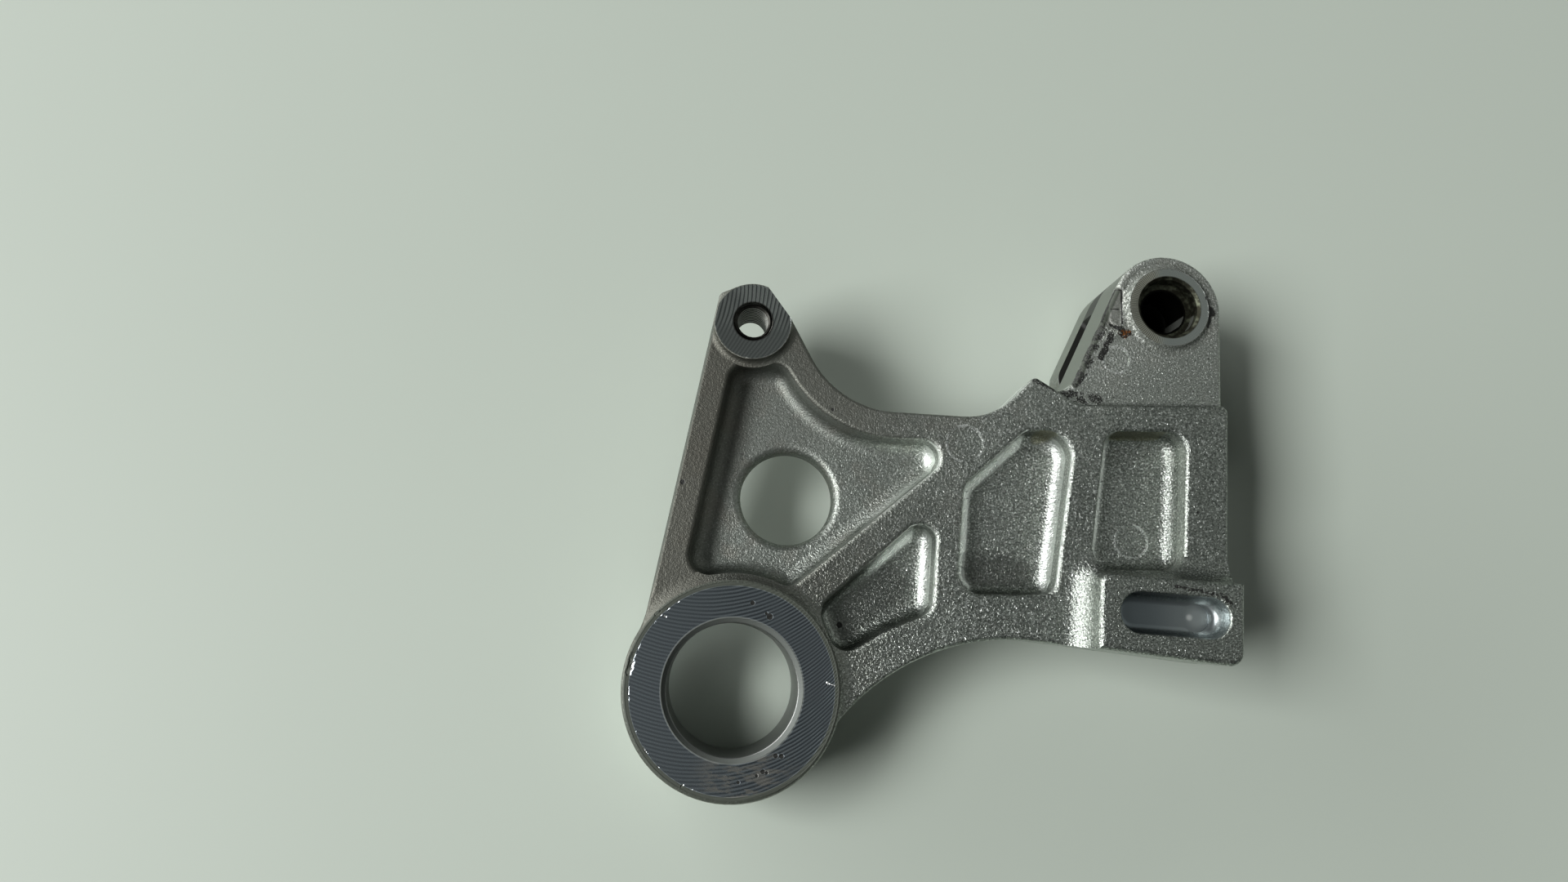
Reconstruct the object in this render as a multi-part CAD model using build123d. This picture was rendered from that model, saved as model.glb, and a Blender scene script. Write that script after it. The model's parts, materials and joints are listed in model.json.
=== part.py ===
from build123d import *
import os
from math import acos, atan2, cos, radians, sin, sqrt

# Rear brake caliper bracket, one aluminium casting. Millimetres.
# The origin is the middle of the axle bore. Z is the axle's axis and points to the
# side with the machined ring face, X and Y lie in the plate. The brake disc turns
# about Z below the plate, and its edge runs through the slot in the ear.

# Ring that sits on the axle
AXLE_BORE_DIAMETER = 28.0
AXLE_BORE_CHAMFER = 1.0
RING_LENGTH = 21.0
RING_RADIUS = 23.4
RING_EDGE_ROUNDING = 1.1
RING_STANDOUT = 1.5
RING_FOOT_RADIUS = 4.0
RING_BLEND_RADIUS = 20.0

# Plate
PLATE_THICKNESS = 13.0
EDGE_ROUNDING = 0.8

# Boss with the threaded hole for the caliper bolt, at the end of the left arm
BOLT_X = 4.0
BOLT_Y = 80.6
BOLT_THREAD_DIAMETER = 8.0
BOLT_HOLE_CHAMFER = 0.4
BOLT_BOSS_RADIUS = 9.4
BOLT_FACE_RADIUS = 8.5
BOLT_FACE_STANDOUT = 1.6
BOLT_FACE_ROUNDING = 0.3
BOLT_FOOT_RADIUS = 1.5

# Ear with the slide-pin bore and the pad wall
PIN_X = 101.9
PIN_Y = 87.0
PIN_BOSS_RADIUS = 12.95
PIN_BORE_DIAMETER = 10.3
PIN_BORE_DEPTH = 24.0
PIN_BOOT_DIAMETER = 13.8
PIN_BOOT_DEPTH = 4.0
PIN_BOOT_CHAMFER = 0.6
PIN_FACE_RADIUS = 9.3
PIN_FACE_STANDOUT = 1.3
PIN_FACE_ROUNDING = 0.3
PIN_FOOT_RADIUS = 1.6
EAR_STEP = 2.7
EAR_STEP_FOOT_RADIUS = 1.3
EAR_DEPTH = 28.5
EAR_RIGHT_INSET = 0.2
EAR_EDGE_ROUNDING = 1.0
PAD_WALL_ANGLE = 26.5
PAD_WALL_LENGTH = 34.0
PAD_WALL_CORNER_RADIUS = 5.0
CORNER_PATCH_RADII = 3.5

# Slot for the edge of the brake disc, and the land below it
DISC_SLOT_RADIUS = 126.0
DISC_SLOT_WIDTH = 6.8
DISC_SLOT_BELOW_EAR = 13.0
DISC_SLOT_CORNER_RADIUS = 1.5
LOWER_LAND_LENGTH = 28.0
LOWER_LAND_RIGHT_Y = 74.0
LOWER_LAND_CORNER_RADIUS = 5.0
LOWER_LAND_ROUNDING = 1.5

# Torque-stop block, turned a little from the plate's X, and the slot in it
BLOCK_X = 94.4
BLOCK_Y = 14.8
BLOCK_LEFT = 17.0
BLOCK_FAR = 9.2
BLOCK_HEIGHT = 7.8
BLOCK_TURN = -4.4
BLOCK_DRAFT = 5.0
BLOCK_FOOT_RADIUS = 5.0
BLOCK_TOP_ROUNDING = 1.2
BLOCK_CORNER_RADIUS = 3.0
TORQUE_SLOT_LENGTH = 24.2
TORQUE_SLOT_WIDTH = 8.9
TORQUE_SLOT_DEPTH = 5.0
TORQUE_SLOT_SHIFT = (0.2, 0.7)
TORQUE_SLOT_DRAFT = 4.0
TORQUE_SLOT_FLOOR_RADIUS = 2.0
TORQUE_SLOT_MOUTH_ROUNDING = 0.4

# Pockets in the plate, between its ribs
POCKET_DEPTH = 7.0
POCKET_DRAFT = 5.0
POCKET_FLOOR_RADIUS = 3.2
POCKET_MOUTH_ROUNDING = 0.9
POCKET_CORNER_RADIUS = 4.5
LEFT_RIB = 6.1
RING_RIB = 1.1
NOTCH_RIB_CENTRE = (37.2, 82.8)
NOTCH_RIB_RADIUS = 28.2
BOLT_RIB = 0.8
RIGHT_TIP_X = 53.7
RIGHT_TIP_RADIUS = 4.2
RING_SIDE_CORNER = (9.0, 18.3)

# Corners of the pockets as X, Y and radius: where the ring and the notch cut into the
# big pocket, and all corners of the other three
BIG_POCKET_CUT_CORNERS = [(-10.2, 23.0, 4.5), (13.0, 21.5, 3.0), (11.5, 71.3, 4.0)]
SMALL_POCKET = [(45.6, 40.4, 3.6), (43.6, 16.1, 4.0), (33.9, 12.4, 15.0), (22.6, 6.2, 4.2), (18.2, 16.8, 4.2)]
FIVE_SIDED_POCKET = [(66.0, 57.0, 4.0), (77.5, 57.1, 6.0), (71.0, 19.9, 3.5), (49.05, 20.2, 5.0), (51.5, 44.5, 5.0)]
OBLONG_POCKET = [(84.5, 57.0, 4.0), (103.6, 57.0, 4.5), (100.6, 25.2, 4.0), (79.1, 25.5, 4.5)]

# Round hole through the floor of the big pocket
LIGHTENING_HOLE_X = 12.2
LIGHTENING_HOLE_Y = 41.8
LIGHTENING_HOLE_DIAMETER = 21.0
LIGHTENING_HOLE_ROUNDING = 1.8
LIGHTENING_HOLE_BACK_ROUNDING = 1.0

# Shallow round marks of the ejector pins
EJECTOR_MARK_DEPTH = 0.25
EJECTOR_MARK_CLEARANCE = 4.0

# Plate outline: corners of the straight edges. The left edge starts, and the lower
# edge ends, a little inside the ring's rim.
LEFT_EDGE_START_ANGLE = 163.8
LEFT_EDGE_START_INSET = 1.9
LEFT_EDGE_END = (-3.5, 87.6)
LEFT_EDGE_ROUNDING = 1.5
BOSS_ARC_END_ANGLE = 68.6
BOSS_FLAT_LENGTH = 9.7
BOSS_FLAT_ANGLE = -54.6
BOSS_FLAT_ROUNDING = 3.0
NOTCH_CORNER = (23.3, 61.4)
NOTCH_RADIUS = 22.2
VALLEY_CORNER = (58.05, 59.65)
VALLEY_RADIUS = 14.5
PEAK = (68.6, 69.4)
PEAK_ROUNDING = 1.2
STEP_START = (78.55, 63.1)
STEP_START_ROUNDING = 3.0
RIGHT_EDGE_TOP_X = 113.65
RIGHT_EDGE_ROUNDING = 1.5
RIGHT_EDGE_END = (109.1, 4.4)
LOWER_ARCH_CORNER = (39.46, 13.46)
LOWER_ARCH_RADIUS = 49.5
LOWER_EDGE_END_ANGLE = -34.7
LOWER_EDGE_END_INSET = 1.5

# Heights
ring_top = RING_LENGTH / 2
ring_bottom = -ring_top
plate_top = ring_top - RING_STANDOUT
plate_bottom = plate_top - PLATE_THICKNESS
pocket_floor = plate_top - POCKET_DEPTH
bolt_face = plate_top + BOLT_FACE_STANDOUT
ear_top = plate_top - EAR_STEP
ear_bottom = ear_top - EAR_DEPTH
pin_face = ear_top + PIN_FACE_STANDOUT
disc_slot_top = ear_top - DISC_SLOT_BELOW_EAR
disc_slot_bottom = disc_slot_top - DISC_SLOT_WIDTH
block_top = plate_top + BLOCK_HEIGHT

axle = Vector(0, 0)
bolt = Vector(BOLT_X, BOLT_Y)
pin = Vector(PIN_X, PIN_Y)

# How far solids that are joined reach into each other, and when points count as one
OVERLAP = 1.0
TOUCH = 0.01

# Ejector marks: X, Y, radius and the height of the surface
EJECTOR_MARKS = [
    (51.8, 53.6, 4.1, plate_top),
    (88.9, 74.4, 3.1, ear_top),
    (91.6, 32.4, 3.8, pocket_floor),
    (101.0, 14.9, 3.1, block_top - TORQUE_SLOT_DEPTH),
]


def from_angle(centre, radius, angle):
    """Point on a circle."""
    return centre + Vector(radius * cos(radians(angle)), radius * sin(radians(angle)))


def tangent_point(centre, radius, point, side):
    """Where a line from a point touches a circle, on its side 1 or -1."""
    away = point - centre
    turn = atan2(away.Y, away.X) + side * acos(radius / away.length)
    return centre + Vector(radius * cos(turn), radius * sin(turn))


def disc(centre, radius):
    """Round face in XY."""
    return Pos(centre.X, centre.Y) * Circle(radius)


def prism(face, low, high):
    """Upright solid on an XY face, between two heights."""
    return extrude(Pos(0, 0, low) * face, high - low)


def rounded_face(corners):
    """Face with straight sides, from (x, y, corner radius)."""
    points = [(x, y) for x, y, radius in corners]
    radii = [radius for x, y, radius in corners]
    if not any(radii):
        return make_face(Polyline(*points, close=True))
    return make_face(FilletPolyline(*points, radius=radii, close=True))


def nearest_corner(face, point):
    """The face's corner nearest to a point."""
    return face.vertices().sort_by_distance((point[0], point[1], 0))[0]


def level_edges(solid, height):
    """Edges that lie flat at a height."""
    return [
        edge for edge in solid.edges()
        if all(abs((edge @ place).Z - height) < TOUCH for place in (0, 0.5, 1))
    ]


def mouth_edges(solid, faces, height):
    """Flat edges at a height that run along the outlines of the faces."""
    found = []
    for edge in level_edges(solid, height):
        middle = edge @ 0.5
        if any(face.distance_to(Vertex(middle.X, middle.Y, 0)) < TOUCH for face in faces):
            found.append(edge)
    return found


def left_edge():
    """Where the straight left edge starts, and its direction."""
    start = from_angle(axle, RING_RADIUS - LEFT_EDGE_START_INSET, LEFT_EDGE_START_ANGLE)
    return start, (Vector(*LEFT_EDGE_END) - start).normalized()


def right_edge_x(y):
    """Where the plate's right edge is at a Y."""
    top_y = STEP_START[1]
    slope = (RIGHT_EDGE_TOP_X - RIGHT_EDGE_END[0]) / (top_y - RIGHT_EDGE_END[1])
    return RIGHT_EDGE_TOP_X - slope * (top_y - y)


def ring_blend():
    """Filler between the ring and the arm's left edge, with a hollow arc."""
    start, along = left_edge()
    outward = Vector(-along.Y, along.X)
    offset_start = start + outward * RING_BLEND_RADIUS
    reach = RING_RADIUS + RING_BLEND_RADIUS
    half = offset_start.dot(along)
    run = sqrt(half ** 2 - offset_start.dot(offset_start) + reach ** 2) - half
    centre = offset_start + along * run
    on_edge = start + along * run
    on_ring = centre * (RING_RADIUS / reach)
    filler = make_face(Polyline(on_edge, on_ring, start, close=True))
    return filler - disc(centre, RING_BLEND_RADIUS)


def sector(centre, radius, first, second):
    """Slice of a round face between two points on its rim."""
    sides = [first * 2 - centre, second * 2 - centre]
    return disc(centre, radius) & make_face(Polyline(centre, *sides, close=True))


def plate_outline():
    """The plate seen from above, with the ring's round end."""
    boss_left = tangent_point(bolt, BOLT_BOSS_RADIUS, Vector(*LEFT_EDGE_END), -1)
    boss_right = from_angle(bolt, BOLT_BOSS_RADIUS, BOSS_ARC_END_ANGLE)
    boss_flat_end = from_angle(boss_right, BOSS_FLAT_LENGTH, BOSS_FLAT_ANGLE)
    left_start = left_edge()[0]
    lower_end = from_angle(axle, RING_RADIUS - LOWER_EDGE_END_INSET, LOWER_EDGE_END_ANGLE)
    arm_and_plate = rounded_face([
        (left_start.X, left_start.Y, 0),
        (*LEFT_EDGE_END, LEFT_EDGE_ROUNDING),
        (boss_left.X, boss_left.Y, 0),
        (boss_right.X, boss_right.Y, 0),
        (boss_flat_end.X, boss_flat_end.Y, BOSS_FLAT_ROUNDING),
        (*NOTCH_CORNER, NOTCH_RADIUS),
        (*VALLEY_CORNER, VALLEY_RADIUS),
        (*PEAK, PEAK_ROUNDING),
        (*STEP_START, STEP_START_ROUNDING),
        (RIGHT_EDGE_TOP_X, STEP_START[1], RIGHT_EDGE_ROUNDING),
        (*RIGHT_EDGE_END, BLOCK_CORNER_RADIUS),
        (*LOWER_ARCH_CORNER, LOWER_ARCH_RADIUS),
        (lower_end.X, lower_end.Y, 0),
    ])
    boss_end = sector(bolt, BOLT_BOSS_RADIUS, boss_left, boss_right)
    return arm_and_plate + boss_end + disc(axle, RING_RADIUS) + ring_blend()


def big_pocket():
    """Pocket between the ring, the left rib, the bolt boss and the notch."""
    left_start, along = left_edge()
    top_y = bolt.Y - BOLT_FACE_RADIUS - BOLT_RIB
    rib_start = left_start + Vector(along.Y, -along.X) * LEFT_RIB
    rib_top = rib_start + along * ((top_y - rib_start.Y) / along.Y)
    notch_x, notch_y = NOTCH_RIB_CENTRE
    face = rounded_face([
        (rib_start.X, rib_start.Y, 0),
        (rib_top.X, rib_top.Y, POCKET_CORNER_RADIUS),
        (notch_x, top_y, 0),
        (notch_x, notch_y - NOTCH_RIB_RADIUS, 0),
        (RIGHT_TIP_X, notch_y - NOTCH_RIB_RADIUS, RIGHT_TIP_RADIUS),
        (*RING_SIDE_CORNER, 0),
    ])
    face -= disc(axle, RING_RADIUS + RING_RIB)
    face -= disc(Vector(notch_x, notch_y), NOTCH_RIB_RADIUS)
    face = face.faces().sort_by(SortBy.AREA)[-1]
    for x, y, radius in BIG_POCKET_CUT_CORNERS:
        face = fillet(nearest_corner(face, (x, y)), radius)
    return face


def pocket_faces():
    """The four pockets seen from above."""
    return [big_pocket()] + [rounded_face(corners) for corners in (SMALL_POCKET, FIVE_SIDED_POCKET, OBLONG_POCKET)]


def pocket_tool(face, height, depth, draft, floor_radius):
    """What a drafted pocket with a rounded floor takes away below a height."""
    tool = extrude(Pos(0, 0, height) * face, -depth, taper=draft)
    floor_edges = tool.faces().sort_by(Axis.Z)[0].edges()
    return fillet(floor_edges, floor_radius)


def standing_face(centre, face_radius, top, base, rounding, foot_radius):
    """Round machined face that stands on a cast foot: convex edge, then a hollow."""
    rise = top - base
    curves = rounding + foot_radius
    lean = acos(max(0, 1 - rise / curves))
    wall = rise - curves * (1 - cos(lean))
    edge_x = face_radius + rounding * sin(lean)
    edge_z = top - rounding * (1 - cos(lean))
    edge_middle = (
        face_radius + rounding * sin(lean / 2),
        top - rounding * (1 - cos(lean / 2)),
    )
    foot_x = edge_x + foot_radius * sin(lean)
    foot_middle = (
        foot_x - foot_radius * sin(lean / 2),
        base + foot_radius * (1 - cos(lean / 2)),
    )
    section = [
        Line((0, top), (face_radius, top)),
        ThreePointArc((face_radius, top), edge_middle, (edge_x, edge_z)),
        ThreePointArc((edge_x, edge_z - wall), foot_middle, (foot_x, base)),
        Polyline((foot_x, base), (foot_x, base - OVERLAP), (0, base - OVERLAP), (0, top)),
    ]
    if wall > TOUCH:
        section.append(Line((edge_x, edge_z), (edge_x, edge_z - wall)))
    return Pos(centre.X, centre.Y) * revolve(Plane.XZ * make_face(section), Axis.Z)


def mouth_cone(centre, radius, chamfer_size, height, inward):
    """Chamfer at a hole's mouth; inward is -1 for a mouth that faces up, 1 for down."""
    mouth = Pos(0, 0, height) * disc(centre, radius + chamfer_size)
    return extrude(mouth, inward * chamfer_size, taper=45)


def blind_hole(centre, radius, chamfer_size, high, depth):
    """Round hole down from a face, with a chamfer at its mouth."""
    shaft = prism(disc(centre, radius), high - depth, high)
    return shaft + mouth_cone(centre, radius, chamfer_size, high, -1)


def through_hole(centre, radius, chamfer_size, low, high):
    """Round hole between two faces, with a chamfer at both mouths."""
    hole = blind_hole(centre, radius, chamfer_size, high, high - low)
    return hole + mouth_cone(centre, radius, chamfer_size, low, 1)


def pocketed_plate(outline, pockets):
    """Plate with rounded edges and its four pockets."""
    plate = prism(outline, plate_bottom, plate_top)
    plate = fillet(level_edges(plate, plate_top) + level_edges(plate, plate_bottom), EDGE_ROUNDING)
    for face in pockets:
        plate -= pocket_tool(face, plate_top, POCKET_DEPTH, POCKET_DRAFT, POCKET_FLOOR_RADIUS)
    return fillet(mouth_edges(plate, pockets, plate_top), POCKET_MOUTH_ROUNDING)


def ring(outline, pockets):
    """Barrel of the ring, with a foot on the plate above and below."""
    barrel = prism(disc(axle, RING_RADIUS), ring_bottom, ring_top)
    barrel = fillet(level_edges(barrel, ring_top) + level_edges(barrel, ring_bottom), RING_EDGE_ROUNDING)
    face_radius = RING_RADIUS - RING_EDGE_ROUNDING
    feet = standing_face(axle, face_radius, ring_top, plate_top, RING_EDGE_ROUNDING, RING_FOOT_RADIUS)
    lower = standing_face(axle, face_radius, ring_top, -plate_bottom, RING_EDGE_ROUNDING, RING_FOOT_RADIUS)
    feet += mirror(lower, Plane.XY)
    feet &= prism(offset(outline, -EDGE_ROUNDING / 2), ring_bottom - OVERLAP, ring_top + OVERLAP)
    for face in pockets:
        feet -= prism(face, pocket_floor, ring_top + OVERLAP)
    return barrel + feet


def bolt_boss(outline):
    """Machined face of the bolt boss on its foot."""
    foot = standing_face(bolt, BOLT_FACE_RADIUS, bolt_face, plate_top, BOLT_FACE_ROUNDING, BOLT_FOOT_RADIUS)
    return foot & prism(offset(outline, -EDGE_ROUNDING / 2), plate_top - OVERLAP, bolt_face + OVERLAP)


def ear_face(wall_length, right_foot_y, corner_radius):
    """The ear seen from above: the pad wall, the right edge and the round pin boss."""
    tangent = from_angle(pin, PIN_BOSS_RADIUS, 180 - PAD_WALL_ANGLE)
    wall_foot = from_angle(tangent, wall_length, 270 - PAD_WALL_ANGLE)
    right_foot = Vector(right_edge_x(right_foot_y) - EAR_RIGHT_INSET, right_foot_y)
    right_tangent = tangent_point(pin, PIN_BOSS_RADIUS, right_foot, 1)
    face = rounded_face([
        (tangent.X, tangent.Y, 0),
        (wall_foot.X, wall_foot.Y, corner_radius),
        (right_foot.X, right_foot.Y, corner_radius),
        (right_tangent.X, right_tangent.Y, 0),
    ])
    return face + disc(pin, PIN_BOSS_RADIUS)


def disc_slot():
    """Room for the disc: flat and round about the axle, with a rounded rim."""
    room = prism(disc(axle, DISC_SLOT_RADIUS), disc_slot_bottom, disc_slot_top)
    rim = level_edges(room, disc_slot_bottom) + level_edges(room, disc_slot_top)
    return fillet(rim, DISC_SLOT_CORNER_RADIUS)


def step_foot():
    """Hollow foot of the step from the ear up to the plate."""
    y, z, radius = STEP_START[1], ear_top, EAR_STEP_FOOT_RADIUS
    near = radius * (1 - cos(radians(45)))
    section = make_face([
        Polyline((y + radius, z), (y + radius, z - OVERLAP), (y - OVERLAP, z - OVERLAP),
                 (y - OVERLAP, z + radius), (y, z + radius)),
        ThreePointArc((y, z + radius), (y + near, z + near), (y + radius, z)),
    ])
    start_x = STEP_START[0] + PAD_WALL_CORNER_RADIUS
    end_x = right_edge_x(y) - EAR_RIGHT_INSET - EAR_EDGE_ROUNDING
    return extrude(Pos(start_x, 0, 0) * (Plane.YZ * section), end_x - start_x, dir=(1, 0, 0))


def ear(outline):
    """Ear above the disc slot, the land below it, and the machined pin face.

    A square patch of the joined outline, a few radii wide, holds the hollow corner
    between the pad wall and the plate.
    """
    upper_face = ear_face(PAD_WALL_LENGTH, STEP_START[1] - OVERLAP, 0)
    joined = outline + upper_face
    joined = fillet(nearest_corner(joined, STEP_START), PAD_WALL_CORNER_RADIUS)
    patch_size = CORNER_PATCH_RADII * PAD_WALL_CORNER_RADIUS
    near_corner = Rectangle(patch_size, patch_size, align=(Align.CENTER, Align.MIN))
    corner_face = joined & (Pos(STEP_START[0], STEP_START[1] - OVERLAP) * near_corner)
    upper = prism(upper_face + corner_face, plate_bottom, ear_top)
    upper = fillet(level_edges(upper, ear_top), EAR_EDGE_ROUNDING)
    upper += prism(upper_face, disc_slot_top, plate_bottom + OVERLAP)
    land_face = ear_face(LOWER_LAND_LENGTH, LOWER_LAND_RIGHT_Y, LOWER_LAND_CORNER_RADIUS)
    land = prism(land_face, ear_bottom, disc_slot_top)
    land = fillet(level_edges(land, ear_bottom), LOWER_LAND_ROUNDING)
    foot = standing_face(pin, PIN_FACE_RADIUS, pin_face, ear_top, PIN_FACE_ROUNDING, PIN_FOOT_RADIUS)
    return upper + land + foot + step_foot() - disc_slot()


def turned(face):
    """A face of the torque-stop block, moved to the block's place."""
    return Pos(BLOCK_X, BLOCK_Y) * Rot(0, 0, BLOCK_TURN) * face


def block(outline, pockets):
    """Torque-stop block: flush with the plate's right and lower edge, with a foot."""
    reach = 2 * BLOCK_LEFT
    corner = Pos(-BLOCK_LEFT, BLOCK_FAR)
    face = turned(corner * Rectangle(2 * reach, reach, align=(Align.MIN, Align.MAX)))
    far_left = turned(corner * Circle(1)).center()
    face = fillet(nearest_corner(face, (far_left.X, far_left.Y)), BLOCK_CORNER_RADIUS)
    ground = prism(offset(face, 2 * BLOCK_FOOT_RADIUS), plate_top - OVERLAP, plate_top)
    solid = ground + extrude(Pos(0, 0, plate_top) * face, BLOCK_HEIGHT, taper=BLOCK_DRAFT)
    solid = fillet(mouth_edges(solid, [face], plate_top), BLOCK_FOOT_RADIUS)
    footprint = offset(face, BLOCK_FOOT_RADIUS + TOUCH) & outline
    solid &= prism(footprint, plate_top - OVERLAP, block_top + OVERLAP)
    for pocket in pockets:
        solid -= prism(pocket, pocket_floor, block_top + OVERLAP)
    return fillet(level_edges(solid, block_top), BLOCK_TOP_ROUNDING)


def cut_torque_slot(solid):
    """Blind slot in the block, with a rounded mouth."""
    face = turned(Pos(*TORQUE_SLOT_SHIFT) * SlotOverall(TORQUE_SLOT_LENGTH, TORQUE_SLOT_WIDTH))
    solid -= pocket_tool(face, block_top, TORQUE_SLOT_DEPTH, TORQUE_SLOT_DRAFT, TORQUE_SLOT_FLOOR_RADIUS)
    return fillet(mouth_edges(solid, [face], block_top), TORQUE_SLOT_MOUTH_ROUNDING)


def cut_lightening_hole(solid):
    """Round hole through the floor of the big pocket, with rounded edges."""
    face = disc(Vector(LIGHTENING_HOLE_X, LIGHTENING_HOLE_Y), LIGHTENING_HOLE_DIAMETER / 2)
    solid -= prism(face, plate_bottom - OVERLAP, pocket_floor + OVERLAP)
    solid = fillet(mouth_edges(solid, [face], pocket_floor), LIGHTENING_HOLE_ROUNDING)
    return fillet(mouth_edges(solid, [face], plate_bottom), LIGHTENING_HOLE_BACK_ROUNDING)


def bores():
    """The axle bore, the threaded bolt hole, plain at the thread's outer diameter, and the blind pin bore."""
    return [
        through_hole(axle, AXLE_BORE_DIAMETER / 2, AXLE_BORE_CHAMFER, ring_bottom, ring_top),
        through_hole(bolt, BOLT_THREAD_DIAMETER / 2, BOLT_HOLE_CHAMFER, plate_bottom, bolt_face),
        blind_hole(pin, PIN_BOOT_DIAMETER / 2, PIN_BOOT_CHAMFER, pin_face, PIN_BOOT_DEPTH),
        prism(disc(pin, PIN_BORE_DIAMETER / 2), pin_face - PIN_BORE_DEPTH, pin_face),
    ]


def ejector_mark(x, y, radius, height):
    """Room that an ejector pin leaves in a surface."""
    return prism(disc(Vector(x, y), radius), height - EJECTOR_MARK_DEPTH, height + EJECTOR_MARK_CLEARANCE)


def bracket():
    """The whole casting."""
    outline = plate_outline()
    pockets = pocket_faces()
    solid = cut_lightening_hole(pocketed_plate(outline, pockets))
    for piece in [ring(outline, pockets), bolt_boss(outline), ear(outline), block(outline, pockets)]:
        solid += piece
    solid = cut_torque_slot(solid)
    for tool in bores() + [ejector_mark(*mark) for mark in EJECTOR_MARKS]:
        solid -= tool
    return solid


os.makedirs("parts", exist_ok=True)
export_step(bracket(), "parts/caliper_bracket.step")
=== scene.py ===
import json
from math import cos, pi, radians, sin

import bpy
from mathutils import Matrix, Vector


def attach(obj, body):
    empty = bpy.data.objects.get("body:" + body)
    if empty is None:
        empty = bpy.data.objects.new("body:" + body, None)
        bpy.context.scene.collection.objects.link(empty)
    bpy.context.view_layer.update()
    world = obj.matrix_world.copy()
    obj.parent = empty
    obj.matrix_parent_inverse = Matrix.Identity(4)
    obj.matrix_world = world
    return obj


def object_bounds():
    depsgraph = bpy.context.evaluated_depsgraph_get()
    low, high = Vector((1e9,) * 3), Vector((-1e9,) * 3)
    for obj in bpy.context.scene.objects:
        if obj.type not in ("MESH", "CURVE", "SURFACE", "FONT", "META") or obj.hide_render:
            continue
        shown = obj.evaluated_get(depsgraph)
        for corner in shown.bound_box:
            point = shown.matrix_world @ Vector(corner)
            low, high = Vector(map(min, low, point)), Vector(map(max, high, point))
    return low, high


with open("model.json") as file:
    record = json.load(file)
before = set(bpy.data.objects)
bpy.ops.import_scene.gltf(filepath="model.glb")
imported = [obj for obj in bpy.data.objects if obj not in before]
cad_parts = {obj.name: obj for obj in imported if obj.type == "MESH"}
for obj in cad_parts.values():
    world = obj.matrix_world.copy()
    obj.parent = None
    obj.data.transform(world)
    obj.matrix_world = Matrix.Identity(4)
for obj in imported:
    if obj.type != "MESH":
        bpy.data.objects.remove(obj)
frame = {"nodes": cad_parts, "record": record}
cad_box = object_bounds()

# The looks of the brake caliper bracket: its metal, the thread in the bolt hole, the
# table it lies on, and the light. The frame is the CAD frame: the origin is the middle
# of the axle bore and Z is the axle. Lengths in the materials are millimetres.

MM = 0.001
UP = (0, 0, 1)
RIGHT = (1, 0, 0)


def mount(name):
    """Place of one of the record's mounts, in millimetres."""
    found = next(row for row in frame["record"]["mounts"] if row["name"] == name)
    return [part / MM for part in found["pos_m"]]


# Places on the bracket that the materials need, in millimetres
AXLE = mount("axle_bore")[:2]
BOLT = mount("caliper_bolt_hole")[:2]
PIN = mount("slide_pin_bore")[:2]
RING_FACE_Z = mount("ring_face")[2]
BOLT_FACE_Z = mount("bolt_face")[2]
PIN_FACE_Z = 7.6
EAR_Z = 6.3
PLATE_Z = 9.0
PLATE_BOTTOM_Z = -4.0
BLOCK_Z = cad_box[1][2] / MM
PIN_STEP_Z = 4.5
RING_RIM_LOW_Z = 8.0
DISC_SLOT_Z = (-13.5, -6.7)
DISC_SLOT_START_Y = 60.0
PAD_WALL_NORMAL = (-0.895, 0.446, 0.0)

# Radii of the cut surfaces
RING_FACE_RADIUS = 22.5
AXLE_CHAMFER_RADIUS = 15.2
AXLE_BORE_RADIUS = 14.15
BOLT_FACE_RADIUS = 8.55
BOLT_CHAMFER_RADIUS = 4.6
PIN_FACE_RADIUS = 9.4
PIN_COUNTERBORE_RADIUS = 7.6
PIN_BORE_RADIUS = 5.6

# Inner and outer radii of the worn or dull rings round the cut surfaces
WORN_EDGE_RADII = (21.6, 21.9)
DULL_RIM_RADII = (21.75, 23.0)
PIN_FOOT_RADII = (9.2, 11.8)

# How far below or above a surface the marks on it reach
RING_FACE_SKIN = 0.15
FACE_SKIN = 0.12
EDGE_DEPTH = 0.6
EAR_EDGE_DEPTH = 1.2
EAR_MARK_HEIGHT = 1.6
PAD_WALL_EDGE_DEPTH = 0.9
DULL_EDGE_DEPTH = 1.0
CORNER_GRIME_DEPTH = 2.5
BLOCK_PIT_DEPTH = 0.5
LIT_WALL_EDGE_DEPTH = 0.4
FLOOR_SHADE_DEPTH = 2.0

# Where a look sets in and where it is complete: places along x, along y or aslant, and
# for the pin face's ticks the x from the pin's axis
BOLT_MARKS_Y = (77.0, 82.0)
PIN_TICKS_X = (-1.0, -4.0)
WORN_EDGE_X = (-6.0, -12.0)
PATCHY_FACE_X = (-12.0, 6.0)
COARSE_GRAIN_ASLANT = (-10.0, 60.0)
COARSE_GLINT_Y = (76.0, 58.0)
DULLED_ASLANT = (8.0, 40.0)
FAR_TARNISH_ASLANT = (40.0, 54.0)
RIB_TARNISH_ASLANT = (45.0, 0.0)
LIT_WALLS_X = (28.0, 34.0)
RIGHT_WALLS_X = (82.0, 78.0)
EAR_GREY_X = (70.0, 74.0)
TORQUE_SLOT_SHADE_TO_LIGHT_X = (89.0, 101.0)

# Tool marks of the face mills: where their arcs are centred, their radius and pitch
RING_MILL = {"middle": -6.0, "radius": 39.0, "pitch": 0.8}
BOLT_MILL = {"middle": 90.0, "radius": 28.0, "pitch": 0.91}
PIN_TICK_RADIUS = 8.2
PIN_TICK_PITCH = 0.42

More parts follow.
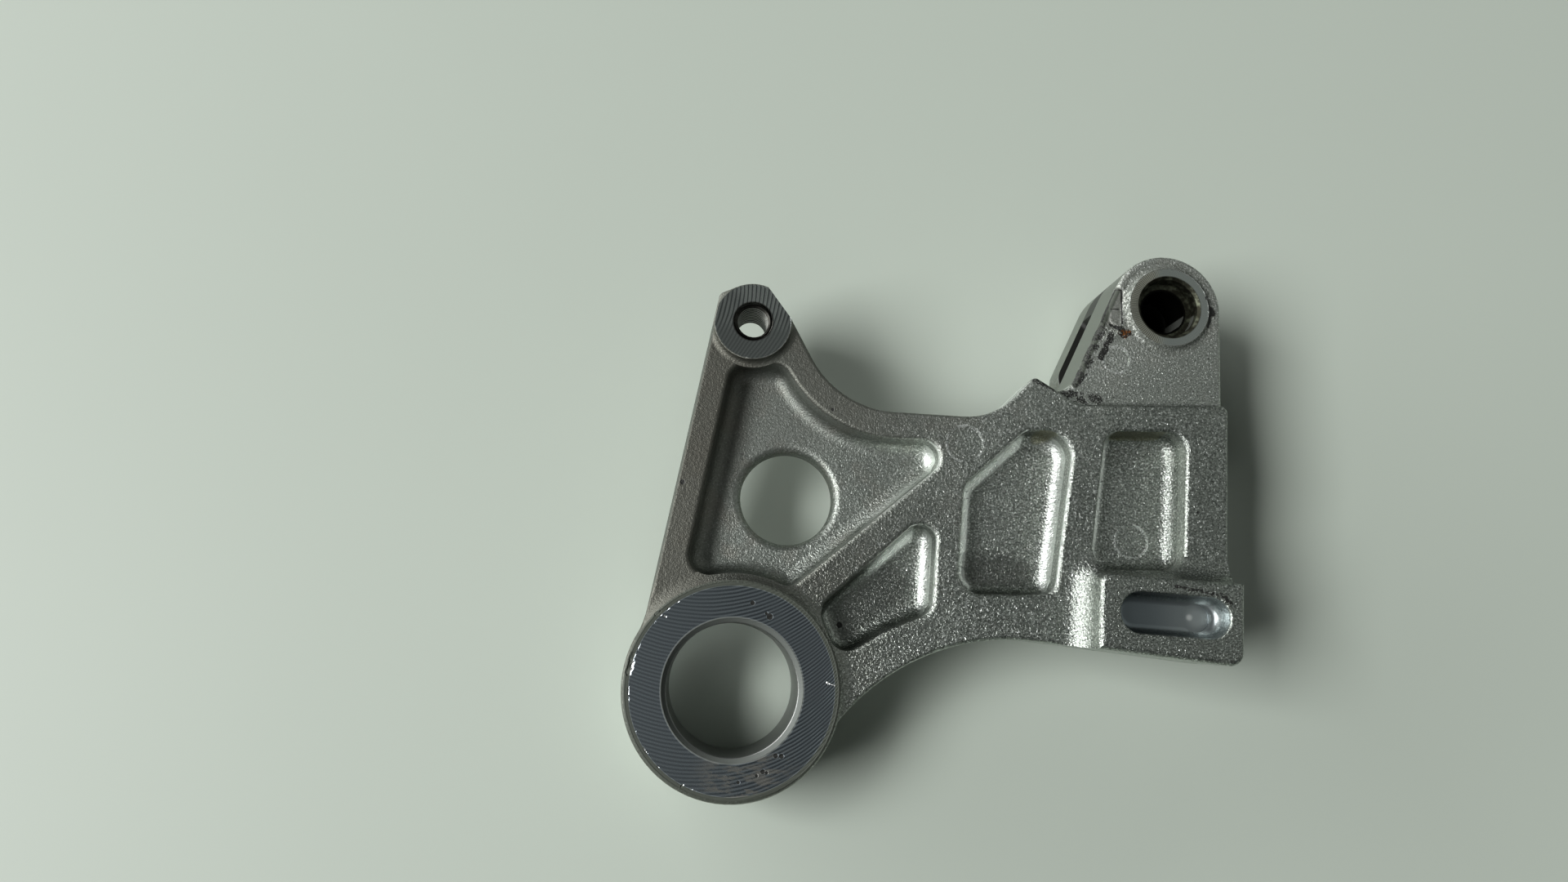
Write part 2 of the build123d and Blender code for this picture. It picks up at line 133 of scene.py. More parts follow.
# Sizes of the grain's lumps, and the relief of the surface
FINE_GRAIN = 0.33
COARSE_GRAIN = 0.62
GRIT = 0.42
SPECKLE = 0.32
CUT_GRAIN = 0.3
FINE_GRAIN_HEIGHTS = (0.10, 0.15)
COARSE_GRAIN_HEIGHTS = (0.10, 0.24)
MILL_MARK_DEPTHS = (0.010, 0.05)
CUT_GRAIN_HEIGHT = 0.008
SCAR_DEPTH = 0.25
SCAR_TONGUE_HEIGHT = 0.2
TORN_METAL_HEIGHT = 0.6
PORE_DEPTH = 0.06
NICK_DEPTH = 0.5

# Strokes on the bracket, seen from above: both ends and the width
DULL_EDGES = [
    ((-20.6, 11.0), (-16.8, 25.0), 1.3),
    ((-16.8, 25.0), (-5.3, 79.5), 1.3),
    ((78.8, 68.1), (90.1, 91.3), 1.6),
]
RING_NICKS = [
    ((-21.9, 3.6), (-21.3, 5.6), 1.1),
    ((-21.3, 6.3), (-21.0, 7.2), 0.9),
    ((-16.4, 15.6), (-15.4, 16.3), 0.6),
    ((-14.6, 15.3), (-14.3, 15.2), 0.4),
    ((20.1, 1.3), (21.6, 0.8), 0.3),
    ((-10.3, -19.4), (-10.0, -19.1), 0.5),
]
CORNER_GRIME = [
    ((67.8, 68.6), (70.6, 67.9), 1.2),
    ((70.6, 67.9), (76.6, 65.4), 2.4),
    ((76.6, 65.4), (83.6, 64.8), 2.6),
]
EAR_EDGE_GRIME = [((79.4, 68.4), (85.6, 81.4), 2.2)]
EAR_SCRATCH = [
    ((91.0, 81.8), (88.0, 82.6), 1.0),
    ((88.0, 80.4), (85.3, 74.8), 1.5),
]
PIN_GRIME = [
    ((111.2, 89.6), (112.4, 87.0), 0.8),
    ((112.4, 87.0), (113.0, 86.2), 1.5),
    ((112.0, 85.6), (111.4, 82.6), 0.7),
]
BLOCK_PITS = [
    ((94.9, 21.6), (104.7, 19.8), 0.7),
    ((104.7, 19.8), (107.3, 17.8), 0.8),
]
SCAR_OUTLINE = [
    ((89.5, 91.5), (86.0, 83.6), 0.35),
    ((91.0, 91.3), (90.7, 83.2), 0.35),
    ((89.5, 91.5), (91.0, 91.3), 0.3),
    ((88.2, 86.6), (90.0, 86.6), 0.25),
]
SCAR = ((90.0, 90.3), (88.4, 83.6), 3.6)
SCAR_TONGUE = ((89.1, 85.9), (89.0, 84.3), 2.3)
OIL_STAINS = [
    ((70.0, 56.2), (72.5, 56.8), 2.6),
    ((87.5, 56.8), (98.0, 56.8), 1.8),
]
# Painted shade on two pocket floors
POCKET_SHADE = [
    ((22.5, 13.0), (35.0, 22.0), 9.0),
    ((48.0, 25.5), (64.0, 25.0), 8.0),
]
LEFT_ARM = ((-15.5, 12.0), (-2.0, 73.0), 16.0)
TORQUE_SLOT = ((87.0, 16.1), (102.3, 14.9), 8.4)
TORQUE_SLOT_LOW_Z = 11.0

# Spots on the bracket: x, y and radius
RING_PORES = [
    (4.2, 18.1, 0.5), (7.9, 15.2, 0.65), (7.2, 15.9, 0.35), (2.5, 13.7, 0.4), (9.2, -13.5, 0.5),
    (10.4, -13.6, 0.5), (6.5, -16.7, 0.5), (7.3, -16.9, 0.35), (5.2, -17.5, 0.35), (1.4, -18.8, 0.35),
]
CAST_PORES = [
    (23.9, 13.5, 0.6), (-2.2, 88.2, 0.4), (104.6, 38.5, 0.3), (22.0, 61.0, 0.35), (-11.2, 44.3, 0.5),
]
RUST = [(91.1, 80.6, 0.85), (92.2, 81.0, 0.6), (90.2, 80.9, 0.5)]
EJECTOR_MARKS = [(51.8, 53.6, 4.1), (91.6, 32.4, 3.8), (88.9, 74.4, 3.1)]
TORN_METAL = (87.8, 81.6)
TORN_RADIUS = 2.6
RING_WEAR = (3.0, -19.0)
RING_WEAR_RADIUS = 9.0
# Painted highlights on the torque slot's floor: a lens-shaped one and a glint in it
SLOT_LENS_HIGHLIGHT = (101.4, 15.0)
SLOT_LENS_HIGHLIGHT_RADIUS = 2.0
SLOT_GLINT = (99.8, 15.1)
SLOT_GLINT_RADIUS = 0.6

# Colours of the bare casting, with painted light and shade among them
CAST_DARK = (0.26, 0.283, 0.256)
CAST_LIGHT = (0.37, 0.40, 0.362)
# Painted glints and painted shade: light and dark specks of the grain's sparkle
SPECK_GLINT = (0.93, 0.96, 0.93)
SPECK_SHADE = (0.12, 0.13, 0.12)
BROWN_TARNISH = (0.30, 0.27, 0.23)
FAR_TARNISH = (0.10, 0.10, 0.09)
RIB_TARNISH = (0.14, 0.142, 0.122)
ARM_TARNISH = (0.09, 0.085, 0.07)
# Painted light on the pocket walls that face left or right
WALL_LIGHT_COLOUR = (0.88, 0.92, 0.88)
EAR_GREY = (0.50, 0.53, 0.485)
# Painted shade: dark specks of the grain on the ear's top
EAR_SPECK_SHADE = (0.20, 0.21, 0.19)
CAST_SPECK = (0.12, 0.12, 0.11)
FLOOR_SHADE = (0.085, 0.09, 0.08)
# Painted highlight on the rims of the ejector marks
RIM_HIGHLIGHT = (0.85, 0.88, 0.85)

# Colours of the cut surfaces
RING_GROOVE = (0.15, 0.18, 0.20)
RING_CREST = (0.54, 0.61, 0.65)
RING_WORN = (0.62, 0.61, 0.56)
CUT_GROOVE = (0.18, 0.20, 0.195)
CUT_CREST = (0.56, 0.60, 0.57)
PIN_TICK = (0.50, 0.47, 0.36)
PIN_BORE_OILY = (0.115, 0.125, 0.09)
PIN_BORE_DARK = (0.028, 0.028, 0.02)
# Painted shade in the deep part of the pin bore
PIN_BORE_SHADE = (0.006, 0.006, 0.005)
# Painted shade inside the bolt hole
BOLT_BORE_SHADE = (0.05, 0.048, 0.04)
AXLE_BORE = (0.26, 0.27, 0.26)
AXLE_CHAMFER = (0.13, 0.145, 0.132)
PAD_WALL = (0.26, 0.275, 0.25)
# Painted shade and painted light in the torque slot, darker at its left end, lighter at its right,
# with painted highlights on its floor
TORQUE_SLOT_SHADE = (0.19, 0.22, 0.235)
TORQUE_SLOT_LIGHT = (0.34, 0.375, 0.385)
LENS_HIGHLIGHT = (0.62, 0.67, 0.68)
GLINT = (0.95, 0.97, 0.97)
# Painted shade in the thread's grooves; THREAD_METAL is the colour of its crests
THREAD_GROOVE_DEEP_SHADE = (0.008, 0.008, 0.006)
THREAD_GROOVE_SHADE = (0.05, 0.05, 0.045)
THREAD_METAL = (0.17, 0.175, 0.16)

# Colours of the marks of use
OIL = (0.30, 0.29, 0.18)
SCAR_METAL = (0.38, 0.38, 0.35)
NICK = (0.93, 0.94, 0.94)
DULL = (0.068, 0.078, 0.062)
# Also painted shade: the disc slot is black all over
DIRT_AND_DISC_SLOT_SHADE = (0.010, 0.011, 0.009)
RUST_DARK = (0.010, 0.006, 0.002)
RUST_ORANGE = (0.15, 0.045, 0.0)

# Roughness of the casting; tarnish adds to that of the bare metal
BRIGHT_ROUGHNESS = 0.29
DULLED_ROUGHNESS = 0.43
TARNISH_ROUGHNESS = 0.12
CUT_ROUGHNESS = 0.27
WALL_ROUGHNESS = 0.42
EDGE_ROUGHNESS = 0.65
DIRT_ROUGHNESS = 0.5
BORE_ROUGHNESS = 0.6
TABLE_ROUGHNESS = 0.55

# Thread in the bolt hole, M8 x 1.25, with a chamfer at both mouths
THREAD_CREST = 3.4
THREAD_ROOT = 4.03
THREAD_MOUTH = 4.4
THREAD_PITCH = 1.25
THREAD_ROOT_HALF_WIDTH = 0.56
THREAD_CREST_HALF_WIDTH = 0.2
THREAD_STEPS = 48
THREAD_END_GAP = 0.3
THREAD_LEAST_HEIGHT = 0.01
THREAD_SHINE_WIDTH = 0.08
THREAD_ROUGHNESS = (0.3, 0.5)
THREAD_SCRATCH_DEPTH = 0.01

# Camera, from the photograph: its place in millimetres and its axes
CAMERA_PLACE = (-5.6, 12.2, 240.2)
CAMERA_RIGHT = (0.9974, 0.0, 0.0718)
CAMERA_UP = (-0.0126, 0.9844, 0.1757)
CAMERA_BACK = (-0.0707, -0.1761, 0.9819)
CAMERA_LENS = 24.375
CAMERA_SENSOR = 36.0
CAMERA_CLIP_START = 0.01

# The bracket lies on the lower edge of the ring and on the foot of the ear.
TABLE_UP = Vector((0.0297, 0.0964, 0.9949)).normalized()
TABLE_DEPTH = 12.72
TABLE_SIZE = 4.0
TABLE_COLOUR = (0.58, 0.65, 0.57)
TABLE_SHADE = 0.98
TABLE_CLOUD_SIZE = 60.0
TABLE_WAVE_SIZE = 40.0
TABLE_WAVE_DEPTH = 0.002

# Lights, from the photograph's shadows: azimuth and elevation in degrees, width and
# height in metres, power in watts
LIGHT_TARGET = (50, 38, 0)
LIGHT_DISTANCE = 4.0
WINDOW = (180, 44, 2.4, 1.5, 164.0)
LOW_WINDOW = (152, 9, 6.0, 0.9, 150.0)
CEILING = (240, 52, 1.6, 1.6, 5.0)

# The room in the metal's reflections: dark, but paler near one direction
ROOM_DARK = (0.075, 0.080, 0.079)
ROOM_PALE = (0.40, 0.42, 0.40)
ROOM_PALE_PLACE = (0.73, 0.30, 0.61)
ROOM_PALE_FROM = 0.75
ROOM_PALE_FULL = 0.97
ROOM_LIGHT = (0.008, 0.009, 0.008)
BACKGROUND_COLOUR = (0.47, 0.52, 0.46)


class Nodes:
    """Puts a node tree together. A mask is a number from 0 to 1."""

    def __init__(self, tree):
        self.tree = tree
        tree.nodes.clear()

    def node(self, kind, inputs, **settings):
        """Adds a node; an input is a number, a colour or another node's output."""
        node = self.tree.nodes.new("ShaderNode" + kind)
        for name, value in settings.items():
            setattr(node, name, value)
        for name, value in inputs.items():
            if isinstance(value, bpy.types.NodeSocket):
                self.tree.links.new(value, node.inputs[name])
            else:
                node.inputs[name].default_value = value
        return node

    def math(self, operation, first, second=0.0):
        return self.node("Math", {0: first, 1: second}, operation=operation).outputs[0]

    def vector(self, operation, first, second=(0, 0, 0), scale=1.0):
        """Vector that comes from one or two vectors."""
        inputs = {0: first, 1: second, 3: scale}
        return self.node("VectorMath", inputs, operation=operation).outputs["Vector"]

    def measure(self, operation, first, second):
        """Number that comes from two vectors, such as their distance."""
        return self.node("VectorMath", {0: first, 1: second}, operation=operation).outputs["Value"]

    def mix(self, factor, first, second):
        """Colour between two colours."""
        first, second = [(*part, 1) if isinstance(part, tuple) else part for part in (first, second)]
        inputs = {"Factor": factor, 6: first, 7: second}
        return self.node("Mix", inputs, data_type="RGBA").outputs[2]

    def blend(self, factor, first, second):
        """Number between two numbers."""
        return self.node("Mix", {"Factor": factor, 2: first, 3: second}).outputs[0]


class Look(Nodes):
    """A material that is put together from nodes. Lengths are millimetres."""

    def __init__(self, name):
        self.material = bpy.data.materials.new(name)
        self.material.use_nodes = True
        super().__init__(self.material.node_tree)
        coordinates = self.node("TexCoord", {})
        self.place = self.vector("SCALE", coordinates.outputs["Object"], scale=1 / MM)
        self.flat_place = self.vector("MULTIPLY", self.place, (1, 1, 0))
        self.normal = coordinates.outputs["Normal"]
        self.x, self.y, self.z = self.node("SeparateXYZ", {0: self.place}).outputs

    def add(self, *values):
        total = values[0]
        for value in values[1:]:
            total = self.math("ADD", total, value)
        return total

    def times(self, *values):
        product = values[0]
        for value in values[1:]:
            product = self.math("MULTIPLY", product, value)
        return product

    def any_of(self, *masks):
        found = masks[0]
        for mask in masks[1:]:
            found = self.math("MAXIMUM", found, mask)
        return found

    def inverse(self, mask):
        return self.math("SUBTRACT", 1.0, mask)

    def coats(self, colour, *coats):
        """Lays colours over a colour, one after another, each through its own mask."""
        for mask, coat in coats:
            colour = self.mix(mask, colour, coat)
        return colour

    def levels(self, number, *levels):
        """Replaces a number by others, one after another, each where its mask is."""
        for mask, level in levels:
            number = self.blend(mask, number, level)
        return number

    def ramp(self, value, start, end):
        """0 at start and 1 at end, smooth between; end may be the lower one."""
        inputs = {"Value": value, "From Min": start, "From Max": end}
        return self.node("MapRange", inputs, interpolation_type="SMOOTHSTEP").outputs[0]

    def noise(self, size, detail=2.0, roughness=0.5, place=None):
        """Cloudy pattern with lumps of that size."""
        inputs = {"Vector": place or self.place, "Scale": 1 / size}
        inputs.update({"Detail": detail, "Roughness": roughness})
        return self.node("TexNoise", inputs).outputs[0]

    def patches(self, size, start, full, detail=2.0, roughness=0.5):
        """Uneven patches: 0 where the noise is below start, 1 where it is above full."""
        return self.ramp(self.noise(size, detail, roughness), start, full)

    def axle_distance(self, x, y):
        """Distance from a line that is parallel to the axle."""
        return self.measure("DISTANCE", self.flat_place, (x, y, 0))

    def aslant(self, x_share, y_share):
        """Place along a slanting line, from shares of x and y."""
        return self.add(self.times(self.x, x_share), self.times(self.y, y_share))

    def within(self, centre, radius, soft=0.15):
        """1 inside a cylinder that is parallel to the axle."""
        return self.ramp(self.axle_distance(*centre), radius + soft, radius - soft)

    def above(self, height, soft=0.1):
        return self.ramp(self.z, height - soft, height + soft)

    def below(self, height, soft=0.1):
        return self.ramp(self.z, height + soft, height - soft)

    def circle(self, x, y, radius, width):
        """1 along a circle, seen from above."""
        gap = self.math("ABSOLUTE", self.math("SUBTRACT", self.axle_distance(x, y), radius))
        return self.ramp(gap, width * 0.7, width * 0.3)

    def spots(self, places, soft=0.35):
        """1 on small round spots, given as x, y and radius."""
        return self.any_of(*[self.within((x, y), radius, radius * soft) for x, y, radius in places])

    def stroke(self, start, end, width, ragged=0.0):
        """1 along a straight stroke from one point to another, seen from above."""
        first = Vector((*start, 0))
        run = Vector((*end, 0)) - first
        offset = self.vector("SUBTRACT", self.flat_place, first)
        along = self.measure("DOT_PRODUCT", offset, run / run.length_squared)
        along = self.node("Clamp", {"Value": along}).outputs[0]
        gap = self.measure("DISTANCE", offset, self.vector("SCALE", tuple(run), scale=along))
        if ragged:
            unevenness = self.math("SUBTRACT", self.noise(1.2), 0.5)
            gap = self.add(gap, self.times(unevenness, ragged))
        return self.ramp(gap, width * 0.7, width * 0.3)

    def strokes(self, places, ragged=0.0):
        return self.any_of(*[self.stroke(*place, ragged) for place in places])

    def facing(self, direction, least=0.97):
        """1 where the surface faces a direction."""
        cosine = self.measure("DOT_PRODUCT", self.normal, direction)
        return self.ramp(cosine, least - 0.02, least)

    def waves(self, value, pitch):
        """Even grooves across a value, from 0 to 1."""
        turns = self.math("SINE", self.times(value, 2 * pi / pitch))
        return self.add(self.times(turns, 0.5), 0.5)

    def finish(self, colour, metallic, roughness, height, depth):
        """Joins everything to the surface; depth is the bump's full height."""
        bump = self.node("Bump", {"Height": height, "Distance": depth * MM, "Strength": 1.0})
        surface = self.node("BsdfPrincipled", {
            "Base Color": colour,
            "Metallic": metallic,
            "Roughness": roughness,
            "Normal": bump.outputs[0],
        })
        self.node("OutputMaterial", {"Surface": surface.outputs[0]})
        return self.material


def machined_faces(look):
    """Masks of the cut surfaces."""
    ring = look.within(AXLE, RING_FACE_RADIUS)
    slot_low, slot_high = DISC_SLOT_Z
    return {
        "ring": look.any_of(
            look.times(ring, look.above(RING_FACE_Z - RING_FACE_SKIN)),
            look.times(ring, look.below(RING_FACE_SKIN - RING_FACE_Z)),
        ),
        "bore": look.within(AXLE, AXLE_CHAMFER_RADIUS),
        "bolt": look.times(
            look.within(BOLT, BOLT_FACE_RADIUS), look.above(BOLT_FACE_Z - FACE_SKIN),
        ),
        "bolt_bore": look.within(BOLT, BOLT_CHAMFER_RADIUS),
        "pin": look.times(look.within(PIN, PIN_FACE_RADIUS), look.above(PIN_FACE_Z - FACE_SKIN)),
        "pin_bore": look.within(PIN, PIN_COUNTERBORE_RADIUS),
        "pad_wall": look.times(
            look.facing(PAD_WALL_NORMAL), look.below(EAR_Z - PAD_WALL_EDGE_DEPTH, 0.2),
        ),
        "disc_slot": look.times(
            look.above(slot_low - 0.1), look.below(slot_high + 0.1),
            look.ramp(look.y, DISC_SLOT_START_Y, DISC_SLOT_START_Y + 1.0),
        ),
    }


def milled_arcs(look, across, along, middle, radius, pitch):
    """Grooves that a face mill leaves: equal arcs, set side by side."""
    offset = look.math("SUBTRACT", along, middle)
    room = look.math("SUBTRACT", radius ** 2, look.times(offset, offset))
    bulge = look.math("SQRT", look.math("MAXIMUM", room, 1.0))
    uneven = look.times(look.noise(9.0), pitch * 0.8)
    return look.waves(look.add(across, bulge, uneven), pitch)


def bolt_grooves(look):
    """Mill marks of the bolt face, fainter on the side of the ring."""
    arcs = milled_arcs(look, look.times(look.x, -1.0), look.y, **BOLT_MILL)
    return look.blend(look.ramp(look.y, *BOLT_MARKS_Y), look.blend(0.35, 0.45, arcs), arcs)


def pin_ticks(look, face):
    """Short ticks round the left side of the pin face: the grooves, and their mask."""
    offset = look.vector("SUBTRACT", look.place, (*PIN, 0))
    x, y = look.node("SeparateXYZ", {0: offset}).outputs[:2]
    left = look.ramp(x, *PIN_TICKS_X)
    ticks = look.waves(look.times(look.math("ARCTAN2", y, x), PIN_TICK_RADIUS), PIN_TICK_PITCH)
    return look.blend(left, 0.5, ticks), look.times(left, face)


def mill_grooves(look, faces):
    """Tool marks of the ring, bolt and pin faces, from 0 to 1, and the ticks' mask."""
    ticks, ticked = pin_ticks(look, faces["pin"])
    grooves = look.blend(
        faces["bolt"], milled_arcs(look, look.y, look.x, **RING_MILL), bolt_grooves(look)
    )
    return look.blend(faces["pin"], grooves, ticks), ticked


def ear_zone(look):
    """1 at the height of the ear's top."""
    return look.times(
        look.above(EAR_Z - EAR_EDGE_DEPTH, 0.2), look.below(EAR_Z + EAR_MARK_HEIGHT, 0.2),
    )


def pore_mask(look, faces):
    """Small dark pores in the ring's face and in the casting's upper surfaces."""
    return look.any_of(
        look.times(look.spots(RING_PORES), faces["ring"]),
        look.times(look.spots(CAST_PORES), look.facing(UP, 0.8)),
    )


def grime_and_disc_slot_shade_mask(look, faces, ear):
    """Black dirt in corners, scratches and pits, and painted shade all over the disc slot."""
    speckle = look.patches(SPECKLE, 0.40, 0.50, detail=3.0, roughness=0.7)
    corner_zone = look.above(EAR_Z - CORNER_GRIME_DEPTH, 0.5)
    corner = look.times(speckle, corner_zone, look.patches(1.5, 0.40, 0.50))
    pits = look.times(look.above(BLOCK_Z - BLOCK_PIT_DEPTH), look.patches(0.8, 0.40, 0.48))
    return look.any_of(
        look.times(look.strokes(CORNER_GRIME, 2.4), corner),
        look.times(look.strokes(EAR_EDGE_GRIME, 2.0), ear, speckle, look.patches(2.2, 0.42, 0.55)),
        look.times(look.strokes(EAR_SCRATCH, 1.9), ear, look.patches(SPECKLE, 0.33, 0.42)),
        look.times(look.strokes(PIN_GRIME, 1.4), ear),
        look.times(look.strokes(BLOCK_PITS, 1.6), pits),
        look.times(look.strokes(SCAR_OUTLINE, 0.5), ear, 0.8),
        # Painted shade: the disc slot is black all over
        faces["disc_slot"],
    )


def nick_mask(look):
    """Bright nicks in the ring's face and along its left edge."""
    inner, outer = WORN_EDGE_RADII
    worn_edge = look.times(
        look.within(AXLE, outer, 0.05), look.inverse(look.within(AXLE, inner, 0.05)),
        look.ramp(look.x, *WORN_EDGE_X), look.patches(1.6, 0.55, 0.60),
    )
    nicks = look.any_of(look.strokes(RING_NICKS, 0.8), worn_edge)
    return look.times(nicks, look.above(RING_FACE_Z - EDGE_DEPTH))


def dull_mask(look, ear):
    """Edges that stay dark: the arm's and the ear's, the ring's rim, the pin boss's foot."""
    edges = look.times(look.strokes(DULL_EDGES, 0.3), look.above(EAR_Z - DULL_EDGE_DEPTH, 0.3))
    inner, outer = DULL_RIM_RADII
    rim = look.times(
        look.inverse(look.within(AXLE, inner, 0.1)), look.within(AXLE, outer),
        look.above(RING_RIM_LOW_Z, 0.5),
    )
    inner, outer = PIN_FOOT_RADII
    pin_foot = look.times(
        look.within(PIN, outer, 0.5), look.inverse(look.within(PIN, inner)), ear,
        look.patches(0.6, 0.40, 0.55), 0.75,
    )
    return look.any_of(edges, rim, pin_foot)


def rust_mask(look, ear):
    rust = look.times(look.spots(RUST, 0.9), look.patches(0.7, 0.35, 0.5, detail=3.0), ear)
    return look.ramp(rust, 0.1, 0.4)


def wear(look, faces):
    """Masks of the marks of use, and of the zones that they and the colours need."""
    ear = ear_zone(look)
    scar = look.times(look.stroke(*SCAR, 0.5), ear)
    pores = pore_mask(look, faces)
    dirt_and_disc_slot_shade = look.any_of(grime_and_disc_slot_shade_mask(look, faces, ear), pores)
    slot_z = look.times(look.above(TORQUE_SLOT_LOW_Z), look.below(BLOCK_Z - EDGE_DEPTH, 0.3))
    bore_wall = look.within(AXLE, AXLE_BORE_RADIUS, 0.05)
    return {
        "ear": ear,
        "scar": scar,
        "scar_tongue": look.times(look.stroke(*SCAR_TONGUE, 0.3), scar),
        "torn": look.times(look.within(TORN_METAL, TORN_RADIUS, 0.8), ear),
        "pores": pores,
        "dirt_and_disc_slot_shade": look.ramp(dirt_and_disc_slot_shade, 0.1, 0.6),
        "rust": rust_mask(look, ear),
        "nicks": nick_mask(look),
        "dull": dull_mask(look, ear),
        "oil": look.times(look.strokes(OIL_STAINS), look.below(PLATE_Z - EDGE_DEPTH)),
        "torque_slot": look.times(look.stroke(*TORQUE_SLOT), slot_z),
        "chamfer": look.times(faces["bore"], look.inverse(bore_wall)),
        "far": look.ramp(look.aslant(-0.3, 1.0), *FAR_TARNISH_ASLANT),
        "arm": look.stroke(*LEFT_ARM),
    }


def coarseness(look):
    """0 on the left arm, where the blasted surface is fine, to 1 at the lower right."""
    unevenness = look.times(look.noise(30.0), 40.0)
    return look.ramp(look.add(look.aslant(0.8, -0.5), unevenness), *COARSE_GRAIN_ASLANT)


def cast_height(look, coarse):
    """Height of the shot-blasted surface."""
    return look.add(
        look.times(look.noise(FINE_GRAIN, 2.0, 0.6), look.blend(coarse, *FINE_GRAIN_HEIGHTS)),
        look.times(look.noise(COARSE_GRAIN, 2.0, 0.55), look.blend(coarse, *COARSE_GRAIN_HEIGHTS)),
    )


def surface_height(look, coarse, machined, milled, patchy, marks):
    """Height of the whole surface in millimetres."""
    cut_height = look.add(
        look.times(milled, look.blend(patchy, *MILL_MARK_DEPTHS)),
        look.times(look.noise(CUT_GRAIN, 3.0), CUT_GRAIN_HEIGHT),
    )
    smooth = look.any_of(machined, marks["scar"], marks["torque_slot"])
    return look.add(
        look.blend(smooth, cast_height(look, coarse), cut_height),
        look.times(marks["scar"], -SCAR_DEPTH),
        look.times(marks["scar_tongue"], SCAR_TONGUE_HEIGHT),
        look.times(marks["torn"], look.noise(1.1, 3.0, 0.7), TORN_METAL_HEIGHT),
        look.times(marks["pores"], -PORE_DEPTH),
        look.times(marks["nicks"], look.noise(1.0), -NICK_DEPTH),
    )


def painted_wall_light(look, ear):
    """Painted light on the pocket walls that face left or right."""
    sideways = look.measure("DOT_PRODUCT", look.normal, RIGHT)
    walls = look.any_of(
        look.ramp(sideways, 0.10, 0.32),
        look.times(look.ramp(sideways, -0.3, -0.6), look.ramp(look.x, *RIGHT_WALLS_X)),
    )
    low = look.below(PLATE_Z - LIT_WALL_EDGE_DEPTH, 0.2)
    zone = look.times(look.ramp(look.x, *LIT_WALLS_X), low, look.inverse(ear))
    return look.times(walls, zone, 0.8)


def painted_rim_highlights(look):
    """Painted highlights on the rims of the ejector pins' marks, broken up in patches."""
    rims = look.any_of(*[look.circle(*mark, 0.6) for mark in EJECTOR_MARKS])
    wear_and_highlight_patches = look.times(look.patches(GRIT, 0.36, 0.50), look.patches(3.0, 0.34, 0.56))
    return look.times(rims, wear_and_highlight_patches, look.facing(UP, 0.8), 0.9)


def painted_floor_shade(look):
    """Painted shade on the floors of two pockets."""
    floor_shade_zone = look.times(look.strokes(POCKET_SHADE, 4.0), look.below(PLATE_Z - FLOOR_SHADE_DEPTH, 1.0))
    return look.times(floor_shade_zone, look.facing(UP, 0.9), 0.6)


def tarnish(look, coarse, marks):
    """Coats that darken the bare casting, towards its far end and on the left arm."""
    left = look.ramp(look.aslant(1.0, -0.3), *RIB_TARNISH_ASLANT)
    rib_tops = look.times(look.above(PLATE_Z - EDGE_DEPTH, 0.3), left)
    brown = look.times(look.patches(6.0, 0.45, 0.72, detail=4.0), look.inverse(coarse), 0.4)
    return [
        (brown, BROWN_TARNISH),
        (look.times(marks["far"], 0.35), FAR_TARNISH),
        (look.times(rib_tops, 0.75), RIB_TARNISH),
        (look.times(marks["arm"], 0.5), ARM_TARNISH),
    ]


def cast_colour(look, coarse, marks):
    """Colour of the bare casting, with painted light and shade: glints and dark specks in the grain,
    light on pocket walls, shade on two floors, highlights on ejector rims.
    """
    coarse = look.times(coarse, look.ramp(look.y, *COARSE_GLINT_Y))
    grit = look.noise(GRIT, 2.0, 0.6)
    ear_top = look.times(marks["ear"], look.ramp(look.x, *EAR_GREY_X), 0.5)
    return look.coats(
        look.mix(look.noise(14.0, 3.0), CAST_DARK, CAST_LIGHT),
        # Painted glints and painted shade: light and dark specks of the grain, stronger where it is
        # coarse
        (look.times(look.ramp(grit, 0.56, 0.68), look.blend(coarse, 0.3, 0.8)), SPECK_GLINT),
        (look.times(look.ramp(grit, 0.50, 0.36), look.blend(coarse, 0.25, 0.8)), SPECK_SHADE),
        *tarnish(look, coarse, marks),
        # Painted light on the pocket walls that face left or right
        (painted_wall_light(look, marks["ear"]), WALL_LIGHT_COLOUR),
        (ear_top, EAR_GREY),
        # Painted glints and painted shade: brighter and darker specks on the ear's top
        (look.times(ear_top, look.ramp(grit, 0.54, 0.68), 1.4), SPECK_GLINT),
        (look.times(ear_top, look.ramp(grit, 0.46, 0.34)), EAR_SPECK_SHADE),
        (look.times(look.patches(0.9, 0.70, 0.76, detail=1.0), 0.7), CAST_SPECK),
        # Painted shade on two pocket floors
        (painted_floor_shade(look), FLOOR_SHADE),
        # Painted highlights on the rims of the ejector marks
        (painted_rim_highlights(look), RIM_HIGHLIGHT),
    )


def ring_colour(look, grooves, patchy):
    """Colour of the ring's faces, streaky where they are worn."""
    lines = look.blend(look.blend(patchy, 0.45, 1.0), 0.5, grooves)
    stretched = look.vector("MULTIPLY", look.place, (0.3, 1.0, 1.0))
    streaks = look.ramp(look.noise(1.2, 4.0, 0.7, stretched), 0.46, 0.58)
    wear_and_highlight_patches = look.times(streaks, look.within(RING_WEAR, RING_WEAR_RADIUS, 4.0), 0.9)
    return look.mix(wear_and_highlight_patches, look.mix(lines, RING_GROOVE, RING_CREST), RING_WORN)


